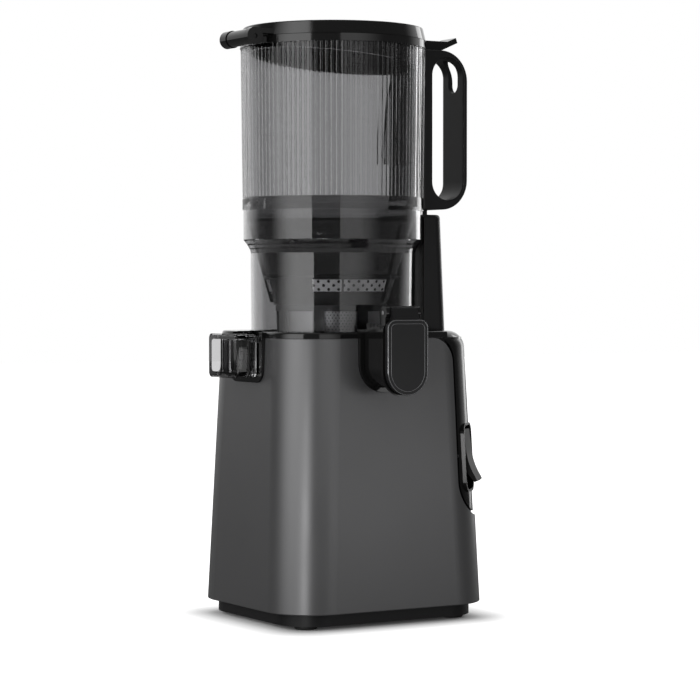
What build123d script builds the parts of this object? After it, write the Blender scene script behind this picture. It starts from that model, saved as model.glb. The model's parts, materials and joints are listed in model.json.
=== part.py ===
"""Wide-chute cold press juicer, as an assembly of separate pieces.  All sizes in millimetres.

Frame: +Z up, the floor is z = 0, the front (juice outlet) faces -Y, the pulp outlet faces -X and
the handle, tower and control spine are on +X.  The origin is under the middle of the whole
machine's footprint box, and the motor base's own centre line stands base_y behind it.
"""

import os
from math import acos, atan, cos, pi, radians, sin, sqrt, tan

from build123d import *

# ---------------------------------------------------------------- driving dimensions
base_y = 14.22  # the motor base's centre line, behind the origin
bowl_x = -9.6  # the bowl's axis, left of the base's centre line

# motor base
foot_height = 3.0
plate_floor = 3.0
plate_skin = 3.0
plate_inset = 9.0
plate_rim = 3.0
shell_floor = 13.0
plate_top = 17.0
shell_top = 229.0
deck_thickness = 5.0
deck_top = shell_top + deck_thickness
base_half_x = 96.7
base_half_y = 85.4
base_corner = 40.0
side_taper = 0.04
shell_wall = 3.0
shell_edge = 0.8
fit_gap = 0.3
seat_gap = 0.2

# spine on the right side
spine_inset = 1.5
spine_wall = 1.7
spine_groove = 3.0
spine_overlap = 6.0
spine_left = 57.5
spine_lean = 0.027
spine_top_arc = 21.0
spine_top_arc_z = shell_top - spine_top_arc
spine_low_arc = 31.0
spine_floor = 83.0
crown_radius = 14.0
deck_edge_radius = 2.2

# paddle switch, on the spine's front corner
switch_z = 131.0
pocket_width = 26.0
pocket_height = 52.0
pocket_depth = 14.0
pocket_wall = 2.0
paddle_width = 22.0
paddle_pin_radius = 1.5
paddle_pin_depth = 6.0
paddle_pin_up = 2.0

# recess in the deck and the drive
recess_floor = 190.0
floor_thickness = 3.0
recess_wall = 3.0
recess_gap = 0.6
shaft_radius = 7.0
shaft_round_top = 212.0
hex_flats = 11.6
hex_top = 232.0
running_gap = 0.05

# gear train: two equal reduction stages, motor and output on one axis
pinion_teeth = 14
wheel_teeth = 70
gear_module = 1.1
pressure_angle = radians(25)
gear_backlash = 0.12
gear_distance = gear_module * (pinion_teeth + wheel_teeth) / 2
wheel_width = 8.0
case_floor = 112.0
case_wall = 2.5
case_cover = 150.0
first_stage = 119.0
second_stage = 131.0

# motor
motor_floor = 14.0
motor_radius = 42.0
motor_wall = 2.5
motor_shaft_radius = 4.0
bearing_radius = 8.0
bearing_width = 5.0
rotor_radius = 24.5
core_floor = 48.0
core_top = 92.0

# bowl
bowl_floor_radius = 66.6
bowl_radius = 67.5
bowl_upper_radius = 73.3
bowl_wall = 2.5
bowl_floor = 4.0
shoulder_low = 297.0
shoulder_high = 308.0
shoulder_curve = ((0.0, 0.0), (0.15, 0.33), (0.5, 0.66), (1.0, 1.0))  # (growth, rise), as shares
bowl_top = 331.3
tube_radius = 11.5
tube_wall = 3.0
tube_top = 211.5

# pulp duct (-X) and juice spout (-Y), both on the bowl
duct_half_width = 20.5
duct_low = 200.0
duct_high = 230.0
duct_wall = 2.0
duct_corner = 4.0
duct_inner_x = 50.0
mouth_x = 112.0
mouth_half_width = 23.0
mouth_low = 198.0
mouth_high = 231.5
mouth_length = 11.0
collar_wall = 5.0
collar_gap = 1.5
collar_reach = 91.0
spout_radius = 17.2
spout_centre_z = 208.5
spout_top = 236.0
spout_wall = 2.2
spout_face_y = 109.5
flange_thickness = 3.0
collar_front = 80.0
spout_collar_wall = 3.5

# juice cap
cap_radius = 18.5
cap_low = 185.0
cap_high = 244.0
cap_thickness = 4.0
cap_seal_thickness = 1.5
cap_corner = 7.0
cap_hinge_y = 103.5
cap_hinge_z = 249.5
cap_hinge_radius = 5.2
cap_pin_radius = 1.6
cap_knuckle_width = 23.0
cap_ear_width = 4.0

# strainer
screen_radius = 43.8
screen_wall = 0.8
basket_radius = 47.0
basket_top = 276.5
basket_windows = 8
window_width = 27.0
ring_radius = 57.0
ring_thickness = 2.5
funnel_low = 255.0
funnel_low_radius = 49.0
funnel_top = 322.0
funnel_top_radius = 68.0
funnel_wall = 2.0
funnel_rim_radius = 70.1
funnel_fins = 8
funnel_fin = 1.6

# auger
auger_radius = 42.2
auger_floor = 197.6
flight_top = 274.0
flight_starts = 2
hub_gap = 0.6
nose_top = 300.0
core_radius = 17.0
flight_pitch = 52.0
flight_width = 5.0

# hopper
hopper_band_radius = 74.0
hopper_band_top = 342.0
hopper_low_radius = 73.5
hopper_high_radius = 75.0
hopper_wall = 2.4
rib_count = 110
rib_height = 0.35
rim_height = 6.0
rim_top = 469.5
rim_radius = 76.0

# handle
handle_low = 334.0
handle_root = 60.0
handle_drop = 3.1
handle_reach = 112.0
handle_half_width = 16.0
handle_strip = 4.2
handle_turn = 9.8
finger_gap_x = 77.4
finger_gap_low = 342.0
finger_gap_drop = 9.0
saddle_angle = 19.0
saddle_thickness = 2.5
peg_low = 326.0
peg_block = 9.0
slot_length = 27.0
slot_width = 14.0
handle_edge = 1.2

# lid
lid_height = 10.5
lid_thickness = 3.0
lid_hinge_x = -97.0
lid_hinge_drop = 1.5
lid_taper = 2.5
lid_edge = 1.2
lid_knuckle_radius = 7.0
rim_knuckle_radius = 6.3
lid_pin_from = -27.5
lid_pin_to = 19.5
lid_pin_inset = 1.2
lid_pin_radius = 2.0
skirt_radius = 69.5
skirt_wall = 2.5
skirt_short = 8.0
skirt_long = 23.5
tab_inset = 7.0
tab_width = 22.0
tab_thickness = 4.2
tab_rise = 3.6
latch_from = 74.0
latch_to = 89.0
fin_drop = 28.5
fin_foot = 371.0
fin_top_x = 47.0
fin_foot_x = 38.0
fin_thickness = 4.0

# tower
tower_half_width = 35.0
tower_reach_low = 80.6
tower_reach_high = 76.0
tower_top = 329.0
tower_wall = 2.5
tower_gap = 1.5
tower_back = 30.0
tower_corner = 9.0
tower_edge = 3.0


# ---------------------------------------------------------------- shared places and shapes
rim_floor = rim_top - rim_height
lid_top = rim_top + lid_height
lid_hinge_z = rim_top - lid_hinge_drop
handle_high = rim_top - handle_drop
finger_gap_high = rim_top - finger_gap_drop
fin_top = rim_top - fin_drop
front = Plane((0, base_y, 0), x_dir=(1, 0, 0), z_dir=(0, -1, 0))
bowl_front = Plane((bowl_x, base_y, 0), x_dir=(1, 0, 0), z_dir=(0, -1, 0))
bowl_axis = Axis((bowl_x, base_y, 0), (0, 0, 1))


def level(z):
    """Horizontal plane at height z, centred on the motor base."""
    return Plane((0, base_y, z))


def bowl_level(z):
    """Horizontal plane at height z, centred on the bowl's axis."""
    return Plane((bowl_x, base_y, z))


def half_x(z):
    return base_half_x - side_taper * (z - shell_floor)


def half_y(z):
    return base_half_y - side_taper * (z - shell_floor)


def body_block(low, high, inset, mode=Mode.ADD):
    """Tapered rounded block that follows the base's outer form, moved in by inset."""
    outlines = []
    for z in (low, high):
        with BuildSketch(level(z)) as outline:
            RectangleRounded(2 * (half_x(z) - inset), 2 * (half_y(z) - inset), base_corner - inset)
        outlines.append(outline.sketch)
    loft(outlines, ruled=True, mode=mode)


def spine_region(margin, mode):
    """The part of the right side that the spine fills, seen from the front, grown by margin."""
    arc_x = spine_left - spine_top_arc
    low_x = spine_left + spine_lean * (spine_top_arc_z - spine_floor - spine_low_arc)
    low_centre = (low_x + spine_low_arc, spine_floor + spine_low_arc)
    far = 2 * base_half_x
    above = deck_top + 20
    with BuildSketch(front) as region:
        with BuildLine():
            Line((arc_x, above), (arc_x, spine_top_arc_z + spine_top_arc - margin))
            CenterArc((arc_x, spine_top_arc_z), spine_top_arc - margin, 90, -90)
            Line((spine_left - margin, spine_top_arc_z), (low_x - margin, low_centre[1]))
            CenterArc(low_centre, spine_low_arc + margin, 180, 90)
            Line((low_centre[0], spine_floor - margin), (far, spine_floor - margin))
            Line((far, spine_floor - margin), (far, above))
            Line((far, above), (arc_x, above))
        make_face()
    extrude(region.sketch, amount=2 * base_half_y, both=True, mode=mode)


def turned(*points, mode=Mode.ADD):
    """Solid turned about the bowl's axis from (radius, height) points."""
    with BuildSketch(bowl_front) as profile:
        with BuildLine():
            Polyline(*points, close=True)
        make_face()
    revolve(profile.sketch, axis=bowl_axis, mode=mode)


def disc(low, high, radius, mode=Mode.ADD, at=(0, 0)):
    """Upright cylinder from low to high, at a place measured from the bowl's axis."""
    with BuildSketch(bowl_level(low)) as round_face:
        with Locations(at):
            Circle(radius)
    extrude(round_face.sketch, amount=high - low, mode=mode)


def involute(angle):
    return tan(angle) - angle


def gear_points(teeth, phase):
    """Outline of a spur gear, tooth by tooth, with straight runs along each involute flank."""
    pitch = gear_module * teeth / 2
    base = pitch * cos(pressure_angle)
    tip = pitch + gear_module
    root = pitch - 1.25 * gear_module
    half_tooth = pi / (2 * teeth) - gear_backlash / (2 * pitch) + involute(pressure_angle)
    radii = [root, base, pitch, tip] if base > root else [root, pitch, tip]
    flank = []
    for radius in radii:
        flank.append((radius, half_tooth - involute(acos(min(1.0, base / radius)))))
    points = []
    for tooth in range(teeth):
        centre = 2 * pi * (tooth + phase) / teeth
        for radius, half in flank:
            points.append((radius * cos(centre - half), radius * sin(centre - half)))
        for radius, half in reversed(flank):
            points.append((radius * cos(centre + half), radius * sin(centre + half)))
    return points


def gear(low, width, teeth, phase, at=(0, 0)):
    """Spur gear body with its teeth, standing on height low."""
    outline = [(x + at[0], y + at[1]) for x, y in gear_points(teeth, phase)]
    with BuildSketch(bowl_level(low)) as toothed_face:
        with BuildLine():
            Polyline(*outline, close=True)
        make_face()
    extrude(toothed_face.sketch, amount=width)


# ---------------------------------------------------------------- motor base: shell, deck, spine
screw_spots = [(x, y) for x in (-40, 40) for y in (-70, 70)]
boss_radius = 6.0
boss_height = 28.0
gland_x = -45.0
gland_z = 34.0
gland_radius = 5.0

pulp_collar = collar_gap + collar_wall
spout_collar_radius = spout_radius + collar_gap + spout_collar_wall


def pulp_channel(grow, inner, outer, high=deck_top, mode=Mode.ADD):
    """Channel that runs out to the left around the pulp duct, grown by grow, open upwards."""
    start = Plane((-inner, base_y, 0), x_dir=(0, -1, 0), z_dir=(-1, 0, 0))
    low = duct_low - grow
    with BuildSketch(start) as channel:
        with Locations((0, (low + high) / 2)):
            Rectangle(2 * (duct_half_width + grow), high - low)
        fillet(channel.vertices().group_by(Axis.Y)[0], duct_corner + grow)
    extrude(channel.sketch, amount=outer - inner, mode=mode)


def spout_channel(radius, inner, outer, high=deck_top, mode=Mode.ADD):
    """U-shaped channel that runs out to the front, round below and straight-sided above."""
    start = Plane((bowl_x, base_y - inner, 0), x_dir=(1, 0, 0), z_dir=(0, -1, 0))
    with BuildSketch(start) as channel:
        with Locations((0, spout_centre_z)):
            Circle(radius)
        with Locations((0, (spout_centre_z + high) / 2)):
            Rectangle(2 * radius, high - spout_centre_z)
    extrude(channel.sketch, amount=outer - inner, mode=mode)


with BuildPart() as base_shell:
    body_block(shell_floor, shell_top, 0)
    fillet(edges().group_by(Axis.Z)[-1] + edges().group_by(Axis.Z)[0], shell_edge)
    body_block(shell_floor, shell_top, shell_wall, mode=Mode.SUBTRACT)
    with BuildSketch(level(plate_top)):
        with Locations(screw_spots):
            Circle(boss_radius)
        for x, y in screw_spots:
            web_end = half_y(plate_top) - shell_wall / 2
            with Locations((x, (abs(y) + web_end) / 2 * (1 if y > 0 else -1))):
                Rectangle(3, web_end - abs(y))
    extrude(amount=boss_height)
    with BuildSketch(level(plate_top)):
        with Locations(screw_spots):
            Circle(2.05)
    extrude(amount=boss_height - 4, mode=Mode.SUBTRACT)
    spine_region(0, Mode.SUBTRACT)
    pulp_channel(pulp_collar + fit_gap, 60, 2 * base_half_x, mode=Mode.SUBTRACT)
    spout_channel(spout_collar_radius + fit_gap, 60, 2 * base_half_y, mode=Mode.SUBTRACT)
    with BuildSketch(Plane((gland_x, base_y, gland_z), x_dir=(-1, 0, 0), z_dir=(0, 1, 0))):
        Circle(gland_radius + 0.1)
    extrude(amount=2 * base_half_y, mode=Mode.SUBTRACT)


def crown(low):
    """Upper body of the spine's side with its large rounded top edge."""
    body_block(low, deck_top, spine_inset)
    top_edges = edges().group_by(Axis.Z)[-1]
    fillet(top_edges, crown_radius)


recess_radius = bowl_radius + recess_gap

with BuildPart() as deck_ring:
    body_block(shell_top, deck_top, fit_gap)
    fillet(edges().group_by(Axis.Z)[-1], deck_edge_radius)
    with BuildSketch(front):
        with Locations((spine_left - 5 - base_half_x, deck_top)):
            Rectangle(2 * base_half_x, 40)
    extrude(amount=2 * base_half_y, both=True, mode=Mode.INTERSECT)

with BuildPart() as deck_crown:
    crown(shell_top - 30)
    with BuildSketch(front):
        with Locations((spine_left - 5 + base_half_x, shell_top + 20)):
            Rectangle(2 * base_half_x, 40)
    extrude(amount=2 * base_half_y, both=True, mode=Mode.INTERSECT)

with BuildPart() as top_deck:
    add(deck_ring.part)
    add(deck_crown.part)
    body_block(shell_top - 6, shell_top, shell_wall + fit_gap)
    body_block(shell_top - 6, shell_top, shell_wall + fit_gap + 2.2, mode=Mode.SUBTRACT)
    disc(recess_floor - floor_thickness, deck_top - 1, recess_radius + recess_wall)
    pulp_channel(pulp_collar, 60, collar_reach, high=deck_top - 0.5)
    spout_channel(spout_collar_radius, 60, collar_front, high=deck_top - 0.5)
    disc(recess_floor, deck_top + 5, recess_radius, mode=Mode.SUBTRACT)
    pulp_channel(collar_gap, 50, collar_reach + 5, high=deck_top + 5, mode=Mode.SUBTRACT)
    spout_channel(
        spout_radius + collar_gap, 50, collar_front + 5, high=deck_top + 5, mode=Mode.SUBTRACT
    )
    disc(recess_floor - 10, deck_top, shaft_radius + 2.5, mode=Mode.SUBTRACT)

# paddle switch frame: x along the spine's surface, y up, z out of the corner
corner_lean = atan(side_taper * sqrt(2))
switch_out = Vector(
    cos(radians(45)) * cos(corner_lean), -sin(radians(45)) * cos(corner_lean), sin(corner_lean)
)
switch_origin = Vector(
    half_x(switch_z) - base_corner + (base_corner - spine_inset) * cos(radians(45)),
    base_y - half_y(switch_z) + base_corner - (base_corner - spine_inset) * sin(radians(45)),
    switch_z,
)
switch_plane = Plane(switch_origin, x_dir=(1, 1, 0), z_dir=switch_out)
paddle_side = Plane(switch_origin, x_dir=switch_out, z_dir=-switch_plane.x_dir)

with BuildPart() as panel_face:
    crown(spine_floor - 10)
    with BuildSketch(level(shell_top - seat_gap)):
        Rectangle(3 * base_half_x, 3 * base_half_y)
    extrude(amount=2 * crown_radius, mode=Mode.SUBTRACT)
    body_block(spine_floor - 20, shell_top + 20, spine_inset + spine_wall, mode=Mode.SUBTRACT)
    spine_region(-spine_groove, Mode.INTERSECT)

with BuildPart() as panel_flange:
    body_block(spine_floor - 20, shell_top - 8, shell_wall + 0.1)
    body_block(spine_floor - 20, shell_top - 8, shell_wall + 2.1, mode=Mode.SUBTRACT)
    spine_region(spine_overlap, Mode.INTERSECT)

with BuildPart() as control_panel:
    add(panel_face.part)
    add(panel_flange.part)
    with BuildSketch(switch_plane):
        RectangleRounded(pocket_width + 2 * pocket_wall, pocket_height + 2 * pocket_wall, 8)
    extrude(amount=-(pocket_depth + pocket_wall))
    with BuildSketch(switch_plane.offset(-pocket_depth)):
        RectangleRounded(pocket_width, pocket_height, 6)
    extrude(amount=pocket_depth + 20, mode=Mode.SUBTRACT)
    with BuildSketch(paddle_side.offset(-pocket_width)):
        with Locations((-paddle_pin_depth, paddle_pin_up)):
            Circle(paddle_pin_radius)
    extrude(amount=2 * pocket_width, mode=Mode.SUBTRACT)

with BuildPart() as switch_pin:
    with BuildSketch(paddle_side.offset(-pocket_width / 2 - pocket_wall)):
        with Locations((-paddle_pin_depth, paddle_pin_up)):
            Circle(paddle_pin_radius)
    extrude(amount=pocket_width + 2 * pocket_wall)

# the paddle's outline from the side: (out of the corner, up)
with BuildPart() as switch_paddle:
    with BuildSketch(paddle_side.offset(-paddle_width / 2)):
        with BuildLine():
            crest = Line((-0.8, 23), (0.2, 6))
            flare = TangentArc(crest @ 1, (6.6, -16), tangent=crest % 1)
            lip = Line(flare @ 1, (7.6, -18.5))
            under = Line(lip @ 1, (5.6, -20))
            back = Line(under @ 1, (-2.5, -9))
            hub = Line(back @ 1, (-paddle_pin_depth - 3, paddle_pin_up - 2))
            rise = Line(hub @ 1, (-paddle_pin_depth - 3, paddle_pin_up + 3))
            shoulder = Line(rise @ 1, (-4.0, 10))
            upper = Line(shoulder @ 1, (-3.6, 23))
            Line(upper @ 1, crest @ 0)
        make_face()
    extrude(amount=paddle_width)
    with BuildSketch(paddle_side.offset(-paddle_width)):
        with Locations((-paddle_pin_depth, paddle_pin_up)):
            Circle(paddle_pin_radius + running_gap)
    extrude(amount=2 * paddle_width, mode=Mode.SUBTRACT)

with BuildPart() as switch_body:
    with BuildSketch(switch_plane.offset(-pocket_depth - pocket_wall)):
        Rectangle(20, 32)
    extrude(amount=-12)
    with BuildSketch(switch_plane.offset(-pocket_depth - pocket_wall - 12)):
        with GridLocations(0, 10, 1, 3):
            Rectangle(6, 0.8)
    extrude(amount=-7)

# ---------------------------------------------------------------- base plate, feet, screws, gland
foot_spots = [(x, y) for x in (-69, 69) for y in (-58, 58)]
mount_ring = 34.0
board_y = 60.0
mount_radius = 6.0


def plate_block(low, inset, mode=Mode.ADD):
    """Straight rounded block under the shell, set back from it by inset."""
    with BuildSketch(level(low)) as outline:
        RectangleRounded(
            2 * (half_x(shell_floor) - inset), 2 * (half_y(shell_floor) - inset), base_corner - inset
        )
    extrude(outline.sketch, amount=plate_top - low, mode=mode)


with BuildPart() as base_plate:
    plate_block(plate_floor, plate_inset)
    body_block(shell_floor, plate_top, shell_wall + fit_gap)
    plate_block(plate_floor + plate_skin, plate_inset + plate_rim, mode=Mode.SUBTRACT)
    with BuildSketch(level(plate_floor)):
        with Locations(screw_spots):
            Circle(boss_radius)
    extrude(amount=plate_top - plate_floor)
    with BuildSketch(level(plate_floor)):
        with Locations(screw_spots):
            Circle(2.1)
        with Locations(foot_spots):
            Circle(3.0)
    extrude(amount=plate_top, mode=Mode.SUBTRACT)
    with BuildSketch(level(plate_floor)):
        with Locations(screw_spots):
            Circle(4.2)
    extrude(amount=3.6, mode=Mode.SUBTRACT)
    with BuildSketch(level(plate_floor)):
        with Locations((bowl_x, 0)):
            with PolarLocations(20, 10):
                SlotOverall(16, 3)
    extrude(amount=plate_skin, mode=Mode.SUBTRACT)
    with BuildSketch(level(plate_floor + plate_skin)):
        with Locations((bowl_x + 30, board_y), (bowl_x - 30, board_y)):
            Rectangle(6, 6)
    extrude(amount=14)
    with BuildSketch(level(plate_floor + plate_skin + 4)):
        with Locations((bowl_x, board_y)):
            Rectangle(64, 1.8)
    extrude(amount=20, mode=Mode.SUBTRACT)

with BuildPart() as rubber_feet:
    with BuildSketch(level(0)):
        with Locations(foot_spots):
            Circle(9)
    extrude(amount=foot_height)
    with BuildSketch(level(foot_height)):
        with Locations(foot_spots):
            Circle(2.95)
    extrude(amount=plate_skin)
    chamfer(edges().group_by(Axis.Z)[0], 0.6)

with BuildPart() as base_screws:
    with BuildSketch(level(plate_floor + 0.6)):
        with Locations(screw_spots):
            Circle(3.8)
    extrude(amount=3.0)
    with BuildSketch(level(plate_floor + 3.6)):
        with Locations(screw_spots):
            Circle(2.0)
    extrude(amount=24)
    with BuildSketch(level(plate_floor + 0.6)):
        with Locations(screw_spots):
            RegularPolygon(1.8, 6)
    extrude(amount=1.6, mode=Mode.SUBTRACT)

gland_face = Plane((gland_x, base_y + half_y(gland_z), gland_z), x_dir=(-1, 0, 0), z_dir=(0, 1, 0))
gland_bore = 3.6
with BuildPart() as cord_gland:
    for start, length, radius in (
        (-shell_wall - 8, shell_wall + 8.4, gland_radius),
        (0.4, 1.8, gland_radius + 3),
    ):
        with BuildSketch(gland_face.offset(start)) as washer:
            Circle(radius)
            Circle(gland_bore, mode=Mode.SUBTRACT)
        extrude(washer.sketch, amount=length)

# ---------------------------------------------------------------- motor and gearbox
with BuildPart() as motor_mounts:
    with BuildSketch(bowl_level(plate_floor + plate_skin)):
        with PolarLocations(mount_ring, 4, start_angle=45):
            Circle(mount_radius)
    extrude(amount=motor_floor - plate_floor - plate_skin)

with BuildPart() as motor_can:
    disc(motor_floor, case_floor - 4, motor_radius)
    disc(motor_floor + motor_wall, case_floor, motor_radius - motor_wall, mode=Mode.SUBTRACT)
    disc(motor_floor + motor_wall, motor_floor + motor_wall + bearing_width, bearing_radius + 3)
    disc(motor_floor + motor_wall, motor_floor + 10, bearing_radius, mode=Mode.SUBTRACT)
    with BuildSketch(bowl_level(motor_floor)):
        with PolarLocations(24, 8, start_angle=22.5):
            Circle(5)
    extrude(amount=motor_wall, mode=Mode.SUBTRACT)
    with BuildSketch(Plane((bowl_x, base_y, motor_floor + 14), x_dir=(0, 1, 0), z_dir=(1, 0, 0))):
        with GridLocations(12, 0, 5, 1):
            SlotOverall(10, 4, rotation=90)
    extrude(amount=motor_radius, both=True, mode=Mode.SUBTRACT)

with BuildPart() as motor_end_plate:
    disc(case_floor - 4, case_floor, motor_radius)
    disc(case_floor - 10, case_floor - 4, bearing_radius + 3)
    disc(case_floor - 10, case_floor - 10 + bearing_width, bearing_radius, mode=Mode.SUBTRACT)
    disc(case_floor - 12, case_floor + 1, motor_shaft_radius + 1.5, mode=Mode.SUBTRACT)

with BuildPart() as motor_bearings:
    for low in (motor_floor + motor_wall, case_floor - 10):
        disc(low, low + bearing_width, bearing_radius - 0.02)
    disc(motor_floor, case_floor, motor_shaft_radius + running_gap, mode=Mode.SUBTRACT)

with BuildPart() as motor_stator:
    stator_radius = motor_radius - motor_wall - 0.1
    turned(
        (stator_radius, core_floor), (stator_radius, core_top), (37, core_top), (35, core_top + 6),
        (29, core_top + 6), (rotor_radius + 0.8, core_top), (rotor_radius + 0.8, core_floor),
        (29, core_floor - 6), (35, core_floor - 6), (37, core_floor),
    )

with BuildPart() as motor_rotor:
    disc(core_floor, core_top, rotor_radius)
    disc(motor_floor + motor_wall, first_stage + wheel_width + 1, motor_shaft_radius)

with BuildPart() as motor_fan:
    disc(motor_floor + 10, motor_floor + 12, 32)
    disc(motor_floor + 10, motor_floor + 20, 7.5)
    with BuildSketch(bowl_level(motor_floor + 12)):
        with PolarLocations(0, 9):
            with BuildLine():
                blade = ThreePointArc((7, 0), (19, 5), (32, 4))
                offset(blade, amount=0.8, side=Side.BOTH)
            make_face()
    extrude(amount=8)
    disc(motor_floor, motor_floor + 30, motor_shaft_radius, mode=Mode.SUBTRACT)

with BuildPart() as motor_pinion:
    gear(first_stage - 1, wheel_width + 2, pinion_teeth, 0)
    disc(first_stage - 2, first_stage + 12, motor_shaft_radius, mode=Mode.SUBTRACT)

idler_pin_radius = 4.0
case_radius = gear_module * wheel_teeth / 2 + gear_module + 2
with BuildPart() as gearbox_case:
    for low, high, grow, mode in (
        (case_floor, case_cover, case_wall, Mode.ADD),
        (case_floor + 3, case_cover + 1, 0, Mode.SUBTRACT),
    ):
        with BuildSketch(bowl_level(low)) as oblong:
            with Locations((gear_distance / 2, 0)):
                SlotCenterToCenter(gear_distance, 2 * (case_radius + grow))
        extrude(oblong.sketch, amount=high - low, mode=mode)
    disc(case_floor, case_floor + 3, motor_shaft_radius + 6, mode=Mode.SUBTRACT)
    disc(case_floor, first_stage - fit_gap, idler_pin_radius + 3, at=(gear_distance, 0))
    disc(case_floor, first_stage, idler_pin_radius, at=(gear_distance, 0), mode=Mode.SUBTRACT)

bush_radius = 13.0
cover_neck = recess_floor - floor_thickness - 5
with BuildPart() as gearbox_cover:
    with BuildSketch(bowl_level(case_cover)):
        with Locations((gear_distance / 2, 0)):
            SlotCenterToCenter(gear_distance, 2 * (case_radius + case_wall))
    extrude(amount=4)
    disc(case_cover, cover_neck, bush_radius + 4)
    disc(second_stage + 15, case_cover, idler_pin_radius + 3, at=(gear_distance, 0))
    disc(case_cover, cover_neck + 1, bush_radius - 3, mode=Mode.SUBTRACT)
    disc(case_cover, case_cover + 8, bush_radius, mode=Mode.SUBTRACT)
    disc(cover_neck - 8, cover_neck + 1, bush_radius, mode=Mode.SUBTRACT)
    disc(second_stage, case_cover + 4, idler_pin_radius, at=(gear_distance, 0), mode=Mode.SUBTRACT)

with BuildPart() as idler_pin:
    disc(case_floor, case_cover + 4, idler_pin_radius - 0.01, at=(gear_distance, 0))

with BuildPart() as idler_gear:
    gear(first_stage, wheel_width, wheel_teeth, 0.5, at=(gear_distance, 0))
    gear(first_stage + wheel_width, 6.5 + wheel_width, pinion_teeth, 0, at=(gear_distance, 0))
    disc(
        first_stage - 1, second_stage + 20, idler_pin_radius + running_gap, at=(gear_distance, 0),
        mode=Mode.SUBTRACT,
    )

with BuildPart() as output_gear:
    gear(second_stage, wheel_width + 2, wheel_teeth, 0.5)
    disc(second_stage - 1.5, case_cover - 1, 12)
    disc(second_stage - 5, case_cover + 1, shaft_radius, mode=Mode.SUBTRACT)

with BuildPart() as drive_bearings:
    for low in (case_cover, cover_neck - 8):
        disc(low, low + 7.8, bush_radius - 0.02)
    disc(case_cover - 1, cover_neck + 1, shaft_radius + running_gap, mode=Mode.SUBTRACT)

with BuildPart() as drive_shaft:
    disc(second_stage - 1.5, shaft_round_top, shaft_radius)
    with BuildSketch(bowl_level(shaft_round_top)):
        RegularPolygon(hex_flats / 2, 6, major_radius=False)
    extrude(amount=hex_top - shaft_round_top)
    chamfer(edges().group_by(Axis.Z)[-1], 0.8)

with BuildPart() as drive_seal:
    disc(recess_floor - floor_thickness, recess_floor, shaft_radius + 2.45)
    disc(recess_floor - 10, recess_floor + 1, shaft_radius + 0.25, mode=Mode.SUBTRACT)

with BuildPart() as control_board:
    board_floor = plate_floor + plate_skin + 4
    with BuildSketch(level(board_floor)):
        with Locations((bowl_x, board_y)):
            Rectangle(63, 1.6)
    extrude(amount=60)
    for x, z, width, height, depth in (
        (-18, 22, 14, 18, 12), (4, 20, 20, 14, 9), (22, 40, 10, 22, 8), (-10, 50, 24, 8, 5),
    ):
        chip_plane = Plane((bowl_x + x, base_y + board_y - 0.8, board_floor + z), z_dir=(0, -1, 0))
        with BuildSketch(chip_plane) as chip:
            Rectangle(width, height)
        extrude(chip.sketch, amount=depth)

# ---------------------------------------------------------------- tower with the safety switch
tower_inner = bowl_upper_radius + tower_gap
interlock_x = 73.0
plunger_radius = 2.5
plunger_top = peg_low - fit_gap
plunger_low = 309.0


def tower_block(low, high, inset, mode=Mode.ADD):
    """Upright block beside the bowl whose outer face leans in towards the top."""
    outlines = []
    for z in (low, high):
        lean = (tower_reach_low - tower_reach_high) * (z - deck_top) / (tower_top - deck_top)
        reach = tower_reach_low - lean - inset
        with BuildSketch(level(z)) as outline:
            with BuildLine():
                width = tower_half_width - inset
                FilletPolyline(
                    (tower_back, -width), (reach, -width), (reach, width), (tower_back, width),
                    radius=tower_corner - inset, close=False,
                )
                Line((tower_back, width), (tower_back, -width))
            make_face()
        outlines.append(outline.sketch)
    loft(outlines, ruled=True, mode=mode)


with BuildPart() as tower_cavity:
    tower_block(shell_top - 5, tower_top - tower_wall, tower_wall)
    disc(shell_top - 10, tower_top + 5, tower_inner + tower_wall, mode=Mode.SUBTRACT)

with BuildPart() as tower_fittings:
    with BuildSketch(level(plunger_low - 17)):
        with Locations((interlock_x - 1, 0)):
            Rectangle(20, 40)
    extrude(amount=2.5)
    with BuildSketch(level(tower_top - 14)):
        with Locations((interlock_x, 0)):
            Circle(plunger_radius + 2)
    extrude(amount=12.5)
    add(tower_cavity.part, mode=Mode.INTERSECT)

with BuildPart() as lock_tower:
    tower_block(shell_top, tower_top, 0)
    fillet(edges().group_by(Axis.Z)[-1], tower_edge)
    disc(shell_top - 5, tower_top + 5, tower_inner, mode=Mode.SUBTRACT)
    add(tower_cavity.part, mode=Mode.SUBTRACT)
    add(tower_fittings.part)
    add(deck_crown.part, mode=Mode.SUBTRACT)
    add(deck_ring.part, mode=Mode.SUBTRACT)
    with BuildSketch(level(plunger_low - 5)):
        with Locations((interlock_x, 0)):
            Circle(plunger_radius + running_gap)
    extrude(amount=40, mode=Mode.SUBTRACT)
    with BuildSketch(level(tower_top - 3.5)):
        with Locations((interlock_x, 0)):
            Circle(plunger_radius + 0.3)
    extrude(amount=40, mode=Mode.SUBTRACT)

with BuildPart() as interlock_plunger:
    with BuildSketch(level(plunger_low)):
        with Locations((interlock_x, 0)):
            Circle(plunger_radius)
    extrude(amount=plunger_top - plunger_low)
    chamfer(edges().group_by(Axis.Z)[-1], 0.4)

with BuildPart() as interlock_switch:
    switch_floor = plunger_low - 14.5
    with BuildSketch(level(switch_floor)):
        with Locations((interlock_x - 1.2, 0)):
            Rectangle(5.6, 20)
    extrude(amount=10)
    with BuildSketch(level(switch_floor + 10)):
        with Locations((interlock_x - 0.8, 0)):
            Rectangle(3, 4)
    extrude(amount=1)

# ---------------------------------------------------------------- bowl, outlets and juice cap
bowl_low = recess_floor + seat_gap
bowl_inner_floor = bowl_low + bowl_floor
flange_back = spout_face_y - flange_thickness


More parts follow.
